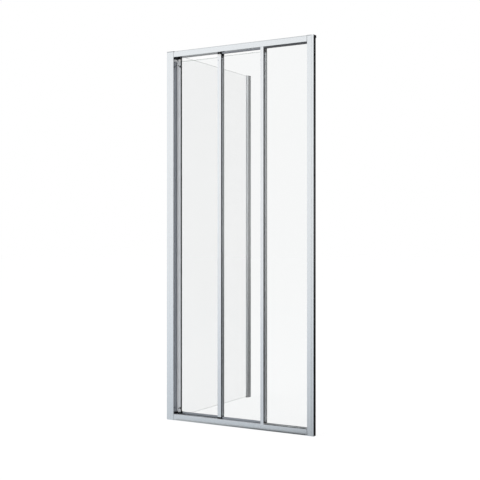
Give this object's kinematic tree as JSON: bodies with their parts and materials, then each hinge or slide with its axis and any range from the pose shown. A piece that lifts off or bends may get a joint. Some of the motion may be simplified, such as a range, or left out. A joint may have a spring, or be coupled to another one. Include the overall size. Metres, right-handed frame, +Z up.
{
  "type": "corner shower enclosure",
  "caption": "Corner shower enclosure: a framed front of sliding glass leaves on roller tracks beside a fixed pane, and a glass side panel returning to the wall.",
  "frame": {"origin": "on the tray, under the middle of the enclosure's outside box", "axes": "+X to the right along the front as seen from outside, +Y into the shower, +Z up"},
  "size_m": [0.82, 0.806, 1.85],
  "materials": {
    "anodised_aluminium": "satin bright anodised",
    "clear_glass": "clear toughened",
    "black_plastic": "moulded",
    "dark_rubber": "extruded",
    "grey_vinyl": "extruded",
    "pale_plastic": "extruded",
    "silver_plastic": "moulded",
    "grey_pile": "woven pile",
    "steel": "plain",
    "nylon": "moulded"
  },
  "bodies": {
    "frame": {"corner_post": "anodised_aluminium", "wall_profile": "anodised_aluminium", "fixed_jamb": "anodised_aluminium", "top_rail": "anodised_aluminium", "bottom_rail": "anodised_aluminium", "top_infill": "anodised_aluminium", "bottom_infill": "anodised_aluminium", "fixed_stile": "anodised_aluminium", "side_glazing_profile": "anodised_aluminium", "side_wall_profile": "anodised_aluminium", "fixed_glass": "clear_glass", "side_glass": "clear_glass", "wall_profile_cap": "black_plastic", "closing_stop": "black_plastic", "rail_end_gaskets": "dark_rubber", "fixed_glass_gaskets": "dark_rubber", "track_buffers": "dark_rubber", "post_buffer": "dark_rubber", "side_setting_blocks": "dark_rubber", "side_post_gasket": "grey_vinyl", "side_glazing_gasket": "grey_vinyl", "post_magnet_strip": "pale_plastic", "buffer_clip": "pale_plastic", "corner_post_cap": "silver_plastic", "fixed_jamb_cap": "silver_plastic", "side_profile_cap": "silver_plastic", "jamb_lock_screws": "steel", "frame_screws": "steel", "side_lock_screws": "steel"},
    "inner_leaf": {"inner_lead_stile": "anodised_aluminium", "inner_trail_stile": "anodised_aluminium", "inner_glass": "clear_glass", "inner_top_brackets": "black_plastic", "inner_bottom_brackets": "black_plastic", "inner_glass_gaskets": "dark_rubber", "inner_drip_seal": "grey_vinyl", "inner_magnet_strip": "pale_plastic", "inner_pile_seal": "grey_pile", "inner_bracket_screws": "steel", "inner_roller_pins": "steel"},
    "middle_leaf": {"middle_lead_stile": "anodised_aluminium", "middle_trail_stile": "anodised_aluminium", "middle_glass": "clear_glass", "middle_top_brackets": "black_plastic", "middle_bottom_brackets": "black_plastic", "middle_glass_gaskets": "dark_rubber", "middle_drip_seal": "grey_vinyl", "middle_pile_seal": "grey_pile", "middle_bracket_screws": "steel", "middle_roller_pins": "steel"},
    "inner_top_roller_lead_wheel": {"inner_top_roller_lead": "nylon"},
    "inner_top_roller_trail_wheel": {"inner_top_roller_trail": "nylon"},
    "inner_bottom_roller_lead_wheel": {"inner_bottom_roller_lead": "nylon"},
    "inner_bottom_roller_trail_wheel": {"inner_bottom_roller_trail": "nylon"},
    "middle_top_roller_lead_wheel": {"middle_top_roller_lead": "nylon"},
    "middle_top_roller_trail_wheel": {"middle_top_roller_trail": "nylon"},
    "middle_bottom_roller_lead_wheel": {"middle_bottom_roller_lead": "nylon"},
    "middle_bottom_roller_trail_wheel": {"middle_bottom_roller_trail": "nylon"}
  },
  "joints": [
    {"name": "inner_leaf_slide", "type": "slide", "parent": "frame", "child": "inner_leaf", "axis": [1, 0, 0], "range_m": [0, 0.4651]},
    {"name": "inner_top_roller_lead_spin", "type": "hinge", "parent": "inner_leaf", "child": "inner_top_roller_lead_wheel", "pos_m": [-0.3585, -0.3618, 1.8304], "axis": [0, 1, 0], "continuous": true},
    {"name": "inner_top_roller_trail_spin", "type": "hinge", "parent": "inner_leaf", "child": "inner_top_roller_trail_wheel", "pos_m": [-0.1011, -0.3618, 1.8304], "axis": [0, 1, 0], "continuous": true},
    {"name": "inner_bottom_roller_lead_spin", "type": "hinge", "parent": "inner_leaf", "child": "inner_bottom_roller_lead_wheel", "pos_m": [-0.3585, -0.3647, 0.0199], "axis": [0, 1, 0], "continuous": true},
    {"name": "inner_bottom_roller_trail_spin", "type": "hinge", "parent": "inner_leaf", "child": "inner_bottom_roller_trail_wheel", "pos_m": [-0.1011, -0.3647, 0.0199], "axis": [0, 1, 0], "continuous": true},
    {"name": "middle_leaf_slide", "type": "slide", "parent": "frame", "child": "middle_leaf", "axis": [1, 0, 0], "range_m": [0, 0.217]},
    {"name": "middle_top_roller_lead_spin", "type": "hinge", "parent": "middle_leaf", "child": "middle_top_roller_lead_wheel", "pos_m": [-0.1147, -0.3768, 1.8304], "axis": [0, 1, 0], "continuous": true},
    {"name": "middle_top_roller_trail_spin", "type": "hinge", "parent": "middle_leaf", "child": "middle_top_roller_trail_wheel", "pos_m": [0.147, -0.3768, 1.8304], "axis": [0, 1, 0], "continuous": true},
    {"name": "middle_bottom_roller_lead_spin", "type": "hinge", "parent": "middle_leaf", "child": "middle_bottom_roller_lead_wheel", "pos_m": [-0.1147, -0.3797, 0.0199], "axis": [0, 1, 0], "continuous": true},
    {"name": "middle_bottom_roller_trail_spin", "type": "hinge", "parent": "middle_leaf", "child": "middle_bottom_roller_trail_wheel", "pos_m": [0.147, -0.3797, 0.0199], "axis": [0, 1, 0], "continuous": true}
  ],
  "couplings": [
    {"joint": "inner_top_roller_lead_spin", "follows": "inner_leaf_slide", "rad_per_m": 156.25},
    {"joint": "inner_top_roller_trail_spin", "follows": "inner_leaf_slide", "rad_per_m": 156.25},
    {"joint": "inner_bottom_roller_lead_spin", "follows": "inner_leaf_slide", "rad_per_m": 217.39},
    {"joint": "inner_bottom_roller_trail_spin", "follows": "inner_leaf_slide", "rad_per_m": 217.39},
    {"joint": "middle_top_roller_lead_spin", "follows": "middle_leaf_slide", "rad_per_m": 156.25},
    {"joint": "middle_top_roller_trail_spin", "follows": "middle_leaf_slide", "rad_per_m": 156.25},
    {"joint": "middle_bottom_roller_lead_spin", "follows": "middle_leaf_slide", "rad_per_m": 217.39},
    {"joint": "middle_bottom_roller_trail_spin", "follows": "middle_leaf_slide", "rad_per_m": 217.39}
  ]
}
